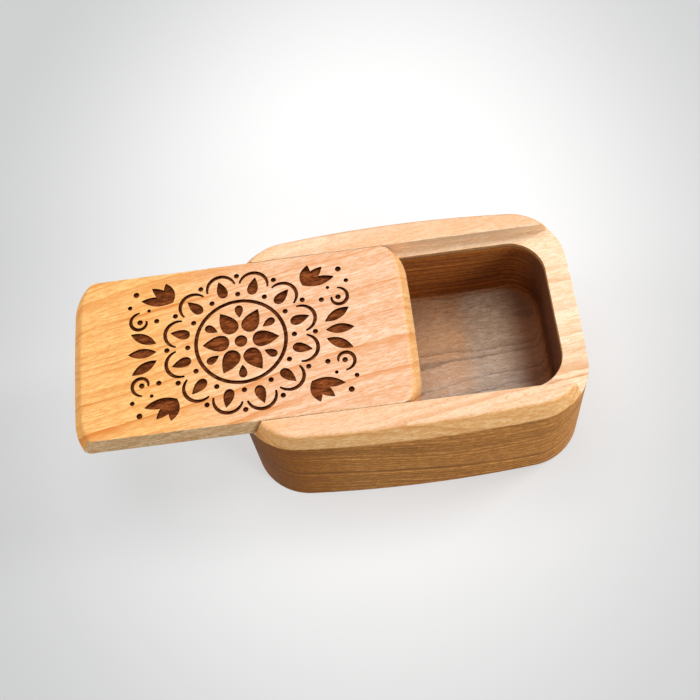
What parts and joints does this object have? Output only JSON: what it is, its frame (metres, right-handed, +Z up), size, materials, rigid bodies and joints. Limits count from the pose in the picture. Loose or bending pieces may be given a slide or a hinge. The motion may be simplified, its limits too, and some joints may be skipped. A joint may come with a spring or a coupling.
{
  "type": "sliding lid wooden box",
  "caption": "Small routed wooden keepsake box with rounded corners and a dovetailed lid that slides open along its length and stops before it comes off.",
  "frame": {"origin": "centre of the flat underside of the box", "axes": "+Z up, +X along the box's length towards the end where the open lid shows the pocket, +Y across the box; the lid opens towards -X"},
  "size_m": [0.1502, 0.0714, 0.0429],
  "materials": {
    "box_wood": "satin oiled cherry",
    "lid_wood": "satin oiled cherry",
    "dowel_wood": "plain birch dowel",
    "magnet_plating": "bright nickel plating"
  },
  "bodies": {
    "box": {"box_body": "box_wood", "rim_magnet": "magnet_plating"},
    "lid": {"sliding_lid": "lid_wood", "lid_stop_pin": "dowel_wood", "lid_magnet": "magnet_plating"}
  },
  "joints": [
    {"name": "lid_slide", "type": "slide", "parent": "box", "child": "lid", "axis": [1, 0, 0], "range_m": [-0.0344, 0.0483]}
  ]
}
